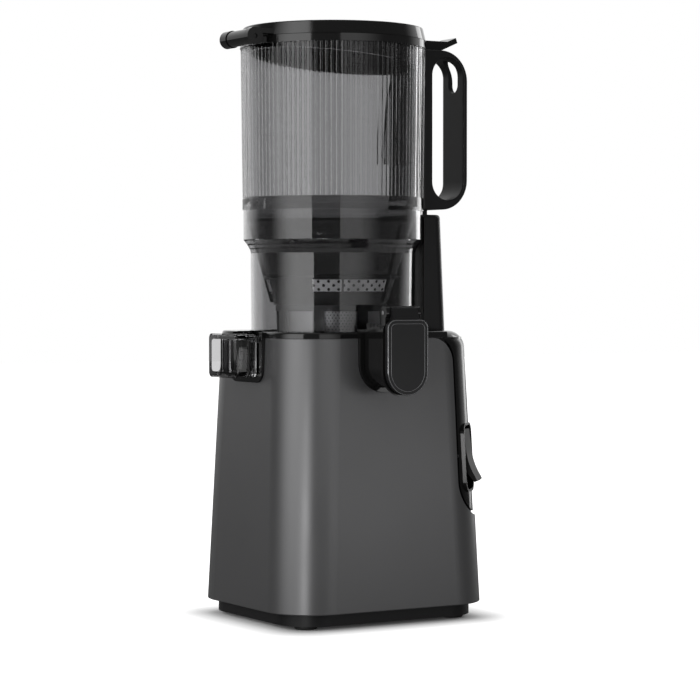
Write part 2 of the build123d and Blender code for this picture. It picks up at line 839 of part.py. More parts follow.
def spout_tube(radius, back, face, top, mode=Mode.ADD):
    """Spout of U-shaped section that runs out to the front."""
    start = Plane((bowl_x, base_y - back, 0), x_dir=(1, 0, 0), z_dir=(0, -1, 0))
    with BuildSketch(start) as section:
        with Locations((0, spout_centre_z)):
            Circle(radius)
        with Locations((0, (spout_centre_z + top) / 2)):
            Rectangle(2 * radius, top - spout_centre_z)
        fillet(section.vertices().group_by(Axis.Z)[-1], 3)
    extrude(section.sketch, amount=face - back, mode=mode)


def duct_box(inner, outer, half_width, low, high, corner, mode=Mode.ADD):
    """Rounded box-section duct that runs out to the left."""
    start = Plane((-inner, base_y, (low + high) / 2), x_dir=(0, 1, 0), z_dir=(-1, 0, 0))
    with BuildSketch(start) as section:
        RectangleRounded(2 * half_width, high - low, corner)
    extrude(section.sketch, amount=outer - inner, mode=mode)


def shoulder(inset):
    """Points of the bowl's curved shoulder, moved in by inset."""
    growth = bowl_upper_radius - bowl_radius
    rise = shoulder_high - shoulder_low
    points = []
    for wide, tall in shoulder_curve:
        points.append((bowl_radius - inset + wide * growth, shoulder_low + tall * rise))
    return points


with BuildPart() as bowl:
    turned(
        (0, bowl_low), (bowl_floor_radius, bowl_low), *shoulder(0), (bowl_upper_radius, bowl_top),
        (0, bowl_top),
    )
    duct_box(duct_inner_x, mouth_x - mouth_length, duct_half_width, duct_low, duct_high, duct_corner)
    spout_tube(spout_radius, screen_radius + 6, flange_back + 1, spout_top - 2)
    turned(
        (0, bowl_inner_floor), (bowl_floor_radius - bowl_wall, bowl_inner_floor), *shoulder(bowl_wall),
        (bowl_upper_radius - bowl_wall, bowl_top + 1), (0, bowl_top + 1), mode=Mode.SUBTRACT,
    )
    duct_box(basket_radius - bowl_x - 8, bowl_floor_radius - bowl_x - 1, duct_half_width,
             duct_low, duct_high, 4)
    disc(duct_low - 1, duct_high + 1, basket_radius + fit_gap, mode=Mode.SUBTRACT)
    duct_box(basket_radius - 5, mouth_x, duct_half_width - duct_wall, duct_low + duct_wall,
             duct_high - duct_wall, 3, mode=Mode.SUBTRACT)
    spout_tube(
        spout_radius - spout_wall, bowl_floor_radius - 8, flange_back + 5, spout_top - 2 - spout_wall,
        mode=Mode.SUBTRACT,
    )
    disc(bowl_low, tube_top, tube_radius)
    disc(bowl_low - 1, tube_top + 1, tube_radius - tube_wall, mode=Mode.SUBTRACT)

with BuildPart() as bowl_seal:
    disc(tube_top - 6, tube_top - 0.5, tube_radius - tube_wall - 0.02)
    disc(tube_top - 7, tube_top, shaft_radius + 0.25, mode=Mode.SUBTRACT)

with BuildPart() as pulp_outlet:
    duct_box(mouth_x - mouth_length, mouth_x, mouth_half_width, mouth_low, mouth_high, 5)
    duct_box(mouth_x - mouth_length, mouth_x + 1, duct_half_width - duct_wall, duct_low + duct_wall,
             duct_high - duct_wall, 3, mode=Mode.SUBTRACT)
    duct_box(mouth_x - 18, mouth_x - 16, mouth_half_width + 0.5, mouth_low - 0.5, mouth_high + 0.5, 5)
    duct_box(
        mouth_x - 18, mouth_x - mouth_length, duct_half_width + 1.8, duct_low - 1.8, duct_high + 1.5, 5
    )
    duct_box(mouth_x - 19, mouth_x - mouth_length, duct_half_width + 0.05, duct_low - 0.05,
             duct_high + 0.05, 4, mode=Mode.SUBTRACT)

pin_spot = (-cap_hinge_y, cap_hinge_z)
hinge_profile = Plane((bowl_x, base_y, 0), x_dir=(0, 1, 0), z_dir=(1, 0, 0))


def across(width, centre=0.0):
    """Upright section plane of the outlet that stands width / 2 to the left of centre."""
    return hinge_profile.offset(centre - width / 2)


with BuildPart() as spout_head:
    head = Plane((bowl_x, base_y - flange_back, 0), x_dir=(1, 0, 0), z_dir=(0, -1, 0))
    with BuildSketch(head) as plate:
        with Locations((0, cap_low + cap_radius)):
            Circle(cap_radius + 1.2)
        with Locations((0, (cap_low + cap_radius + cap_high - 4) / 2)):
            Rectangle(2 * (cap_radius + 1.2), cap_high - 4 - cap_low - cap_radius)
        fillet(plate.vertices().group_by(Axis.Z)[-1], 4)
    extrude(amount=flange_thickness)
    start = Plane((bowl_x, base_y - bowl_radius - 1, 0), x_dir=(1, 0, 0), z_dir=(0, -1, 0))
    with BuildSketch(start) as sleeve:
        with Locations((0, spout_centre_z)):
            Circle(spout_radius + 1.2)
        with Locations((0, (spout_centre_z + spout_top) / 2)):
            Rectangle(2 * (spout_radius + 1.2), spout_top - spout_centre_z)
    extrude(amount=flange_back - bowl_radius)
    disc(recess_floor - 10, deck_top + 20, bowl_radius + 0.3, mode=Mode.SUBTRACT)
    spout_tube(spout_radius + 0.02, bowl_radius - 10, flange_back + 1, spout_top - 2, mode=Mode.SUBTRACT)
    spout_tube(spout_radius - spout_wall, bowl_radius - 10, spout_face_y + 1, spout_top - 2 - spout_wall,
               mode=Mode.SUBTRACT)
    with BuildSketch(Plane((bowl_x, base_y, spout_top))):
        with Locations((0, -(bowl_radius + flange_back) / 2 - 2)):
            Rectangle(24, flange_back - bowl_radius - 6)
    extrude(amount=5)
    with BuildSketch(Plane((bowl_x, base_y, spout_top + 2))):
        with Locations((0, -(bowl_radius + flange_back) / 2 - 2)):
            with GridLocations(0, 5, 1, 5):
                Rectangle(30, 1.8)
    extrude(amount=10, mode=Mode.SUBTRACT)
    for side_sign in (-1, 1):
        ear_centre = side_sign * (cap_knuckle_width + cap_ear_width + 0.6) / 2
        with BuildSketch(across(cap_ear_width, ear_centre)) as ear:
            with Locations(pin_spot):
                Circle(cap_hinge_radius)
            with Locations((pin_spot[0] + 1, (cap_hinge_z + spout_top + 2) / 2)):
                Rectangle(2 * cap_hinge_radius - 2, cap_hinge_z - spout_top - 2)
            with Locations((-flange_back + 3.5, spout_top + 2)):
                Rectangle(7, 5)
        extrude(ear.sketch, amount=cap_ear_width)
    with BuildSketch(across(60)) as bore:
        with Locations(pin_spot):
            Circle(cap_pin_radius)
    extrude(bore.sketch, amount=60, mode=Mode.SUBTRACT)

with BuildPart() as cap_pin:
    with BuildSketch(across(cap_knuckle_width + 2 * cap_ear_width + 1.2)):
        with Locations(pin_spot):
            Circle(cap_pin_radius - 0.01)
    extrude(amount=cap_knuckle_width + 2 * cap_ear_width + 1.2)

seal_face = spout_face_y + seat_gap
cap_back = seal_face + cap_seal_thickness
with BuildPart() as cap_seal:
    spout_tube(spout_radius + 0.4, seal_face, cap_back, spout_top - 1)
    spout_tube(
        spout_radius - spout_wall + 0.4, seal_face - 1, cap_back + 1, spout_top - 3.6, mode=Mode.SUBTRACT
    )


def cap_outline(inset):
    """Cap's outline from the front: round below, flat above with small corners."""
    radius = cap_radius - inset
    centre_z = cap_low + cap_radius
    with BuildSketch(Plane((bowl_x, base_y - cap_back, 0), x_dir=(1, 0, 0), z_dir=(0, -1, 0))) as outline:
        with Locations((0, centre_z)):
            Circle(radius)
        with Locations((0, (centre_z + cap_high - inset) / 2)):
            Rectangle(2 * radius, cap_high - inset - centre_z)
        fillet(outline.vertices().group_by(Axis.Z)[-1], cap_corner - inset)
    return outline.sketch


with BuildPart() as juice_cap:
    extrude(cap_outline(0), amount=cap_thickness)
    fillet(edges().group_by(Axis.Y)[0], 1.0)
    with BuildSketch(across(cap_knuckle_width)) as arm:
        with BuildLine():
            Polyline(
                (-cap_hinge_y, cap_hinge_z + cap_hinge_radius), (-cap_back + 1, cap_hinge_z + 3.5),
                (-cap_back - cap_thickness + 0.6, cap_high - 2), (-cap_back - 1, cap_high - 8),
                (-cap_back, cap_high - 8), (-cap_back, cap_high - 2),
                (-cap_hinge_y, cap_hinge_z - cap_hinge_radius), close=True,
            )
        make_face()
        with Locations(pin_spot):
            Circle(cap_hinge_radius)
    extrude(arm.sketch, amount=cap_knuckle_width)
    with BuildSketch(across(60)) as bore:
        with Locations(pin_spot):
            Circle(cap_pin_radius + running_gap)
    extrude(bore.sketch, amount=60, mode=Mode.SUBTRACT)

# ---------------------------------------------------------------- strainer and auger
basket_low = bowl_inner_floor + seat_gap
basket_wall = basket_radius - screen_radius - 0.1
window_low = basket_low + 12
window_high = 250.0
band_top = 265.5
screen_low = basket_low + floor_thickness


def funnel_radius(z):
    """Outer radius of the funnel at height z."""
    rise = (z - funnel_low) / (funnel_top - funnel_low)
    return funnel_low_radius + rise * (funnel_top_radius - funnel_low_radius)


def wall_windows(low, high, count, width):
    """Upright openings through the basket's wall, evenly spaced round it."""
    with BuildSketch(bowl_level(low)) as slots:
        with PolarLocations(basket_radius - basket_wall / 2, count, start_angle=180 / count):
            Rectangle(3 * basket_wall, width)
    extrude(slots.sketch, amount=high - low, mode=Mode.SUBTRACT)


with BuildPart() as strainer_frame:
    disc(basket_low, basket_top, basket_radius)
    disc(screen_low, basket_top + 1, basket_radius - basket_wall, mode=Mode.SUBTRACT)
    wall_windows(window_low, window_high, basket_windows, window_width)
    wall_windows(band_top, basket_top - 1, basket_windows, window_width)
    disc(basket_low - 1, screen_low + 1, tube_radius + 1, mode=Mode.SUBTRACT)
    duct_box(30, 60, duct_half_width - duct_wall, duct_low + duct_wall, duct_high - duct_wall, 3,
             mode=Mode.SUBTRACT)

fin_low = funnel_low + 2
fin_high = funnel_top - 3
with BuildPart() as strainer_funnel:
    turned(
        (funnel_low_radius, funnel_low), (funnel_top_radius, funnel_top), (funnel_rim_radius, funnel_top),
        (funnel_rim_radius, funnel_top + 2.5), (funnel_top_radius - funnel_wall, funnel_top + 2.5),
        (basket_radius + 0.05, funnel_low),
    )
    disc(basket_top, basket_top + ring_thickness, ring_radius)
    disc(basket_top - 1, basket_top + ring_thickness + 1, screen_radius - screen_wall, mode=Mode.SUBTRACT)
    disc(funnel_low - 1, basket_top, basket_radius + 0.05, mode=Mode.SUBTRACT)
    with BuildSketch(bowl_front) as fin:
        with BuildLine():
            Polyline(
                (funnel_radius(fin_low) - 1, fin_low), (funnel_radius(fin_low) + 2, fin_low),
                (funnel_radius(fin_high) + 1.6, fin_high), (funnel_radius(fin_high) - 1, fin_high),
                close=True,
            )
        make_face()
    fin_solid = extrude(fin.sketch, amount=funnel_fin / 2, both=True, mode=Mode.PRIVATE)
    for turn in range(funnel_fins):
        add(fin_solid.rotate(bowl_axis, 360 * (turn + 0.5) / funnel_fins))

with BuildPart() as strainer_screen:
    disc(screen_low, basket_top, screen_radius)
    disc(screen_low - 1, basket_top + 5, screen_radius - screen_wall, mode=Mode.SUBTRACT)
    duct_box(30, 60, duct_half_width - duct_wall, duct_low + duct_wall, duct_high - duct_wall, 3,
             mode=Mode.SUBTRACT)

# one spiral flight for each start, cut to the auger's outline
flight_root = core_radius - 6
flight_middle = (auger_radius + flight_root) / 2 + 1
with BuildPart() as auger_flights:
    path = Helix(
        pitch=flight_pitch, height=nose_top - auger_floor + 2 * flight_width, radius=flight_middle,
        center=(bowl_x, base_y, auger_floor - flight_width),
    )
    with BuildSketch(Plane(path @ 0, x_dir=(1, 0, 0), z_dir=path % 0)) as flight:
        Rectangle(auger_radius - flight_root + 2, flight_width)
    spiral = sweep(flight.sketch, path=path, is_frenet=True, mode=Mode.PRIVATE)
    for start in range(flight_starts):
        add(spiral.rotate(bowl_axis, 360 * start / flight_starts))
    turned(
        (0, auger_floor), (auger_radius, auger_floor), (auger_radius, flight_top), (34, nose_top - 9),
        (9, nose_top), (0, nose_top), mode=Mode.INTERSECT,
    )

with BuildPart() as auger:
    turned(
        (0, auger_floor), (core_radius + 2, auger_floor), (core_radius, auger_floor + 8),
        (core_radius - 2, flight_top), (7, nose_top), (0, nose_top + 3),
    )
    add(auger_flights.part)
    disc(auger_floor - 1, shaft_round_top + seat_gap, tube_radius + hub_gap, mode=Mode.SUBTRACT)
    with BuildSketch(bowl_level(shaft_round_top)):
        RegularPolygon(hex_flats / 2 + 0.15, 6, major_radius=False)
    extrude(amount=hex_top - shaft_round_top + 0.5, mode=Mode.SUBTRACT)

# ---------------------------------------------------------------- hopper, handle and lid
lip_radius = bowl_upper_radius - bowl_wall - fit_gap - 0.2
lip_floor = funnel_top + 2.5 + fit_gap
hopper_floor = bowl_top + seat_gap
wall_top_inner = hopper_high_radius - hopper_wall
wall_low_inner = hopper_low_radius - hopper_wall
lug_angle = 13.4


def ring_sector(low, high, inner, outer, centre_angle, half_angle):
    """Part of a ring about the bowl's axis."""
    with BuildSketch(bowl_level(low)) as sector:
        with BuildLine():
            start = centre_angle - half_angle
            near = CenterArc((0, 0), inner, start, 2 * half_angle)
            far = CenterArc((0, 0), outer, start, 2 * half_angle)
            Line(near @ 0, far @ 0)
            Line(near @ 1, far @ 1)
        make_face()
    extrude(sector.sketch, amount=high - low)


def ribbed_outline(z, radius):
    """Outline of the ribbed wall at height z: a crest and a groove for each rib."""
    points = []
    groove = radius + 0.05
    crest = groove + rib_height
    for rib in range(rib_count):
        for step, reach in ((-0.27, groove), (-0.07, crest), (0.07, crest), (0.27, groove)):
            angle = 2 * pi * (rib + step) / rib_count
            points.append((reach * cos(angle), reach * sin(angle)))
    with BuildSketch(bowl_level(z)) as outline:
        with BuildLine():
            Polyline(*points, close=True)
        make_face()
    return outline.sketch


with BuildPart() as hopper:
    rib_foot = ribbed_outline(hopper_band_top, hopper_low_radius)
    rib_head = ribbed_outline(rim_floor, hopper_high_radius)
    loft([rib_foot, rib_head], ruled=True)
    turned(
        (lip_radius, lip_floor), (lip_radius, hopper_floor), (hopper_band_radius, hopper_floor),
        (hopper_band_radius, hopper_band_top), (hopper_low_radius, hopper_band_top),
        (hopper_high_radius, rim_floor), (wall_top_inner, rim_floor), (wall_low_inner, hopper_band_top),
        (lip_radius - hopper_wall, hopper_floor + 3), (lip_radius - hopper_wall, lip_floor),
    )
    turned(
        (0, rim_floor + 1), (wall_top_inner, rim_floor + 1), (wall_top_inner, rim_floor),
        (wall_low_inner, hopper_band_top), (lip_radius - hopper_wall, hopper_floor + 3),
        (lip_radius - hopper_wall, lip_floor - 1), (0, lip_floor - 1), mode=Mode.SUBTRACT,
    )
    ring_sector(hopper_floor + 0.5, hopper_band_top - 1.5, hopper_band_radius - 0.5,
                hopper_band_radius + 2.6, 180, lug_angle)

rim_inner = wall_top_inner
middle_from = -20.3
middle_to = 8.8
lid_arm = 25.0


def hinge_section(y):
    """Upright section across the lid's hinge, y behind the base's centre line."""
    return Plane((lid_hinge_x, base_y + y, lid_hinge_z), x_dir=(-1, 0, 0), z_dir=(0, 1, 0))


def hinge_rod(radius, inset=0.0, mode=Mode.ADD):
    """Round rod along the lid's hinge line, short of both ends by inset."""
    with BuildSketch(hinge_section(lid_pin_from + inset)) as rod:
        Circle(radius)
    extrude(rod.sketch, amount=lid_pin_to - lid_pin_from - 2 * inset, mode=mode)


with BuildPart() as hopper_rim:
    turned(
        (rim_inner, rim_floor), (rim_radius, rim_floor), (rim_radius, rim_top), (rim_inner, rim_top)
    )
    with BuildSketch(hinge_section(middle_from)) as knuckle:
        Circle(rim_knuckle_radius)
        with Locations((-9, -2)):
            Rectangle(18, 5)
    extrude(knuckle.sketch, amount=middle_to - middle_from)
    disc(rim_floor - 20, rim_top + 10, rim_radius - 1, mode=Mode.SUBTRACT)
    turned(
        (rim_inner, rim_floor), (rim_radius - 0.5, rim_floor), (rim_radius - 0.5, rim_top),
        (rim_inner, rim_top),
    )
    hinge_rod(lid_pin_radius, mode=Mode.SUBTRACT)

with BuildPart() as lid_pin:
    hinge_rod(lid_pin_radius - 0.01, inset=lid_pin_inset)

lid_floor = rim_top + fit_gap
with BuildPart() as lid_cover:
    turned(
        (0, lid_top - 1), (rim_radius - 6, lid_top - 1), (rim_radius - 6, lid_top),
        (rim_radius - lid_taper, lid_top), (rim_radius, lid_floor), (0, lid_floor),
    )
    top_circles = edges().filter_by(GeomType.CIRCLE).group_by(Axis.Z)[-1]
    fillet(top_circles.sort_by(SortBy.LENGTH)[-1], lid_edge)
    turned((0, lid_floor - 1), (rim_radius - 3, lid_floor - 1), (rim_radius - 5, lid_top - 3.2),
           (0, lid_top - 1 - lid_thickness), mode=Mode.SUBTRACT)

with BuildPart() as lid_skirt:
    turned(
        (skirt_radius, lid_top - 3), (skirt_radius, rim_top - skirt_long),
        (skirt_radius - skirt_wall, rim_top - skirt_long), (skirt_radius - skirt_wall, lid_top - 3),
    )
    with BuildSketch(bowl_front):
        with BuildLine():
            Polyline(
                (-rim_radius, rim_top - skirt_short), (rim_radius, rim_top - skirt_long),
                (rim_radius, rim_top - 60), (-rim_radius, rim_top - 60), close=True,
            )
        make_face()
    extrude(amount=2 * rim_radius, both=True, mode=Mode.SUBTRACT)

tab_reach = handle_reach - tab_inset
tab_low = lid_floor + fit_gap
tab_high = tab_low + tab_thickness
tab_root = bowl_x + skirt_radius
latch_low = handle_high + fit_gap
with BuildPart() as lid_tab:
    with BuildSketch(front):
        with BuildLine():
            Polyline(
                (tab_root, tab_low), (latch_from, tab_low), (latch_from, latch_low), (latch_to, latch_low),
                (tab_reach, tab_low + tab_rise), (tab_reach - 1.5, tab_high + tab_rise),
                (latch_to + 6, tab_high), (tab_root, tab_high), close=True,
            )
        make_face()
    extrude(amount=tab_width / 2, both=True)
    disc(lid_floor - 5, lid_top, rim_radius - 3, mode=Mode.SUBTRACT)

knuckle_gap = 0.8
with BuildPart() as lid:
    add(lid_cover.part)
    add(lid_skirt.part)
    add(lid_tab.part)
    for low, high in ((lid_pin_from, middle_from - knuckle_gap), (middle_to + knuckle_gap, lid_pin_to)):
        with BuildSketch(hinge_section(low)) as knuckle:
            Circle(lid_knuckle_radius)
            with Locations((-lid_arm / 2, 4.4)):
                Rectangle(lid_arm, 4)
        extrude(knuckle.sketch, amount=high - low)
    hinge_rod(lid_pin_radius + running_gap, mode=Mode.SUBTRACT)
    disc(lid_floor - 40, lid_top - 1 - lid_thickness, skirt_radius - skirt_wall, mode=Mode.SUBTRACT)

finger_gap_reach = handle_reach - handle_strip
finger_gap_radius = (finger_gap_reach - finger_gap_x) / 2
handle_corner = finger_gap_radius + handle_turn
with BuildPart() as hopper_handle:
    with BuildSketch(front):
        with BuildLine():
            FilletPolyline(
                (handle_root, handle_low), (handle_reach, handle_low), (handle_reach, handle_high),
                (handle_root, handle_high),
                radius=handle_corner,
            )
            Line((handle_root, handle_high), (handle_root, handle_low))
        make_face()
    extrude(amount=handle_half_width, both=True)
    with BuildSketch(front):
        with Locations(((finger_gap_x + finger_gap_reach) / 2, (finger_gap_low + finger_gap_high) / 2)):
            SlotOverall(finger_gap_high - finger_gap_low, 2 * finger_gap_radius, rotation=90)
    extrude(amount=handle_half_width, both=True, mode=Mode.SUBTRACT)
    side_edges = edges().group_by(Axis.Y)[0] + edges().group_by(Axis.Y)[-1]
    fillet(side_edges.filter_by(lambda edge: edge.center().X > handle_root + 1), handle_edge)
    ring_sector(
        handle_low, rim_floor - 3, hopper_band_radius, hopper_high_radius + saddle_thickness, 0,
        saddle_angle,
    )
    slot_z = finger_gap_high - slot_length / 2 - 1
    slot_start = Plane((finger_gap_reach - 12, base_y, slot_z), x_dir=(0, 1, 0), z_dir=(1, 0, 0))
    with BuildSketch(slot_start):
        SlotOverall(slot_length, slot_width, rotation=90)
    extrude(amount=40, mode=Mode.SUBTRACT)
    saddle_gap = rib_height + 0.15
    turned(
        (0, handle_low - 5), (hopper_band_radius + 0.1, handle_low - 5),
        (hopper_band_radius + 0.1, hopper_band_top), (hopper_low_radius + saddle_gap, hopper_band_top),
        (hopper_high_radius + saddle_gap, rim_floor - 3), (rim_radius + 0.1, rim_floor - 3),
        (rim_radius + 0.1, rim_top + 5), (0, rim_top + 5), mode=Mode.SUBTRACT,
    )
    with BuildSketch(level(tower_top + fit_gap)):
        with Locations((interlock_x + 1, 0)):
            Rectangle(peg_block, peg_block + 2)
    extrude(amount=handle_low - tower_top + 1)
    with BuildSketch(level(peg_low)):
        with Locations((interlock_x, 0)):
            Circle(plunger_radius)
    extrude(amount=handle_low - peg_low)

with BuildPart() as hopper_fin:
    with BuildSketch(front):
        with BuildLine():
            Polyline(
                (hopper_low_radius, fin_top), (fin_top_x, fin_top), (fin_top_x - 4, fin_top - 16),
                (fin_foot_x, fin_foot + 7), (fin_foot_x + 2, fin_foot), (hopper_low_radius, fin_foot),
                close=True,
            )
        make_face()
    extrude(amount=fin_thickness / 2, both=True)
    turned(
        (0, hopper_band_top), (wall_low_inner - 0.05, hopper_band_top), (wall_top_inner - 0.05, rim_floor),
        (0, rim_floor), mode=Mode.INTERSECT,
    )

# ---------------------------------------------------------------- one file for each piece
os.makedirs("parts", exist_ok=True)
pieces = {
    "base_shell": base_shell,
    "top_deck": top_deck,
    "control_panel": control_panel,
    "switch_paddle": switch_paddle,
    "switch_pin": switch_pin,
    "switch_body": switch_body,
    "lock_tower": lock_tower,
    "interlock_plunger": interlock_plunger,
    "interlock_switch": interlock_switch,
    "base_plate": base_plate,
    "rubber_feet": rubber_feet,
    "base_screws": base_screws,
    "cord_gland": cord_gland,
    "motor_mounts": motor_mounts,
    "motor_can": motor_can,
    "motor_end_plate": motor_end_plate,
    "motor_bearings": motor_bearings,
    "motor_stator": motor_stator,
    "motor_rotor": motor_rotor,
    "motor_fan": motor_fan,
    "motor_pinion": motor_pinion,
    "gearbox_case": gearbox_case,
    "gearbox_cover": gearbox_cover,
    "idler_pin": idler_pin,
    "idler_gear": idler_gear,
    "output_gear": output_gear,
    "drive_shaft": drive_shaft,
    "drive_bearings": drive_bearings,
    "drive_seal": drive_seal,
    "control_board": control_board,
    "bowl": bowl,
    "bowl_seal": bowl_seal,
    "pulp_outlet": pulp_outlet,
    "spout_head": spout_head,
    "cap_pin": cap_pin,
    "juice_cap": juice_cap,
    "cap_seal": cap_seal,
    "strainer_frame": strainer_frame,
    "strainer_funnel": strainer_funnel,
    "strainer_screen": strainer_screen,
    "auger": auger,
    "hopper": hopper,
    "hopper_rim": hopper_rim,
    "hopper_handle": hopper_handle,
    "hopper_fin": hopper_fin,
    "lid": lid,
    "lid_pin": lid_pin,
}
for name, piece in pieces.items():
    piece.part.label = name
    export_step(piece.part, f"parts/{name}.step")
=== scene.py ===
"""Looks for the wide-chute cold press juicer: materials, fine pieces, camera and studio."""

import json
import math

import bmesh
import bpy
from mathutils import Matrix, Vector


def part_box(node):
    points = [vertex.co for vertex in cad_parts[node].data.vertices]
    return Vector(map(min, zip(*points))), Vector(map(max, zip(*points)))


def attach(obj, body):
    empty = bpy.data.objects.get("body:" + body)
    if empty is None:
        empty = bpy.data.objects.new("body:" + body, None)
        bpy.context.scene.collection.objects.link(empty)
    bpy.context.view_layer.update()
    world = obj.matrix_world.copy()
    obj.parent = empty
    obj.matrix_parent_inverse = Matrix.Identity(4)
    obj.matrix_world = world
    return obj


MM = 0.001
SHARP_ANGLE = math.radians(32)  # edges steeper than this stay crisp
NOISE_MIDDLE = (0.3, 0.7)  # range that holds most of a noise texture's values

# perforated steel
STEEL_BAND = 10.5 * MM  # height of the band with large holes, at the top of the sheet
COARSE_HOLES = (42, 3.2 * MM, 1.2 * MM)  # holes round the tube, distance between rows, radius
FINE_HOLES = (98, 2.3 * MM, 0.5 * MM)

# thick foot band of the hopper, where its plastic looks darker
THICK_BAND = (331.7 * MM, 342.3 * MM)

# steel windows and bead on the strainer's funnel
FUNNEL_SLOPE = 0.275  # gain in radius for each unit of height
WINDOW_CENTRES = (256.0, 16.0, 136.0)  # degrees round the bowl's axis
WINDOW_HALF_ANGLE = 34.0
WINDOW_HEIGHT = 9.5 * MM
WINDOW_THICKNESS = 0.25 * MM
TRIM_GAP = 0.25 * MM  # between the funnel and its trim
BEAD_RISE = 2.6 * MM
BEAD_RADIUS = 0.7 * MM
BEAD_OUT = 0.3 * MM

# face of the juice cap
CAP_FACE_HEIGHT = 59.0 * MM
CAP_CORNER = 7.0 * MM
CAP_BEADS = (  # name, inset, radius and how far it stands proud
    ("outer", 0.5 * MM, 0.5 * MM, 0.0),
    ("inner", 3.1 * MM, 0.45 * MM, 0.06 * MM),
)

# edge strips of the pulp outlet
OUTLET_CORNER = 4.0 * MM
STRIP_SINK = 0.25 * MM
STRIP_THICKNESS = 0.5 * MM
MOUTH_STRIP = (0.3 * MM, 1.4 * MM)  # distance from the outlet's mouth, width
MIDDLE_STRIP_SHARE = 0.58  # of the outlet's length
MIDDLE_STRIP_WIDTH = 1.2 * MM

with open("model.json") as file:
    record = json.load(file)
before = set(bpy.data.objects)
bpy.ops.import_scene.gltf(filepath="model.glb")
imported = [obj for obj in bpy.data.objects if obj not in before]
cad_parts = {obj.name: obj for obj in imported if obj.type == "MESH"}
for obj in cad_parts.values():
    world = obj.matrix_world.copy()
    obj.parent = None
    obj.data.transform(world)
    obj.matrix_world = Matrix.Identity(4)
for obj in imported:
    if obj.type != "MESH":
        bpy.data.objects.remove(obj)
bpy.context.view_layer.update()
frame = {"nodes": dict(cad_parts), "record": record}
nodes = frame["nodes"]

# ---------------------------------------------------------------- places read from the frame
shell_low, shell_high = [Vector(corner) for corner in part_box("base_shell")]
base_y = (shell_low.y + shell_high.y) / 2
auger_low, auger_high = [Vector(corner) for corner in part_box("auger")]
bowl_x = (auger_low.x + auger_high.x) / 2
bowl_axis = Vector((bowl_x, base_y, 0.0))


# ---------------------------------------------------------------- materials
def new_material(name):
    """Material with its Principled shader and node tree."""
    material = bpy.data.materials.new(name)
    material.use_nodes = True
    tree = material.node_tree
    return material, tree, tree.nodes["Principled BSDF"]


def add_noise(tree, scale, detail=3.0, stretch=(1.0, 1.0, 1.0)):
    """Noise texture in object space; stretch squeezes it along an axis."""
    place = tree.nodes.new("ShaderNodeTexCoord")
    mapping = tree.nodes.new("ShaderNodeMapping")
    mapping.inputs["Scale"].default_value = stretch
    noise = tree.nodes.new("ShaderNodeTexNoise")
    noise.inputs["Scale"].default_value = scale
    noise.inputs["Detail"].default_value = detail
    tree.links.new(place.outputs["Object"], mapping.inputs["Vector"])
    tree.links.new(mapping.outputs["Vector"], noise.inputs["Vector"])
    return noise


def map_range(tree, source, source_range, result_range, steps="SMOOTHSTEP"):
    """Value moved from one range onto another, held at the ends of it."""
    node = tree.nodes.new("ShaderNodeMapRange")
    node.interpolation_type = steps
    node.inputs["From Min"].default_value, node.inputs["From Max"].default_value = source_range
    node.inputs["To Min"].default_value, node.inputs["To Max"].default_value = result_range
    tree.links.new(source, node.inputs["Value"])
    return node.outputs["Result"]


def vary_roughness(tree, shader, noise, low, high):
    """Roughness that wanders between low and high with a noise texture."""
    wander = map_range(tree, noise.outputs["Fac"], NOISE_MIDDLE, (low, high), "LINEAR")
    tree.links.new(wander, shader.inputs["Roughness"])


def object_axes(tree):
    """Coordinates of a point in its object's space, as outputs X, Y and Z."""
    place = tree.nodes.new("ShaderNodeTexCoord")
    axes = tree.nodes.new("ShaderNodeSeparateXYZ")
    tree.links.new(place.outputs["Object"], axes.inputs["Vector"])
    return axes.outputs


def add_bump(tree, shader, noise, strength, distance):
    """Fine relief on the shader's normal."""
    bump = tree.nodes.new("ShaderNodeBump")
    bump.inputs["Strength"].default_value = strength
    bump.inputs["Distance"].default_value = distance
    tree.links.new(noise.outputs["Fac"], bump.inputs["Height"])
    tree.links.new(bump.outputs["Normal"], shader.inputs["Normal"])


def two_tone(tree, shader, source, dark, light):
    """Base colour that goes from dark to light as source goes from 0 to 1."""
    mix = tree.nodes.new("ShaderNodeMix")
    mix.data_type = "RGBA"
    mix.inputs["A"].default_value = (*dark, 1.0)
    mix.inputs["B"].default_value = (*light, 1.0)
    tree.links.new(source, mix.inputs["Factor"])
    tree.links.new(mix.outputs["Result"], shader.inputs["Base Color"])


def plastic(name, dark, light, rough_low, rough_high, relief=0.05, metallic=0.0, shine=0.5):
    """Moulded plastic with a fine surface grain and slightly uneven gloss."""
    material, tree, shader = new_material(name)
    clouds = add_noise(tree, scale=14.0)
    grains = add_noise(tree, scale=900.0, detail=2.0)
    two_tone(tree, shader, clouds.outputs["Fac"], dark, light)
    vary_roughness(tree, shader, clouds, rough_low, rough_high)
    shader.inputs["Metallic"].default_value = metallic
    shader.inputs["Specular IOR Level"].default_value = shine
    add_bump(tree, shader, grains, strength=relief, distance=0.2 * MM)
    return material


def metal(name, colour, rough_low, rough_high):
    """Turned or brushed metal with fine drawn lines."""
    material, tree, shader = new_material(name)
    lines = add_noise(tree, scale=400.0, detail=4.0, stretch=(1.0, 1.0, 30.0))
    darker = tuple(0.8 * value for value in colour)
    two_tone(tree, shader, lines.outputs["Fac"], darker, colour)
    vary_roughness(tree, shader, lines, rough_low, rough_high)
    shader.inputs["Metallic"].default_value = 1.0
    add_bump(tree, shader, lines, strength=0.08, distance=0.1 * MM)
    return material


def calculate(tree, operation, first, second=0.0):
    """Math node on two values, each a number or another node's output."""
    node = tree.nodes.new("ShaderNodeMath")
    node.operation = operation
    for socket, value in zip(node.inputs, (first, second)):
        if isinstance(value, (int, float)):
            socket.default_value = value
        else:
            tree.links.new(value, socket)
    return node.outputs["Value"]


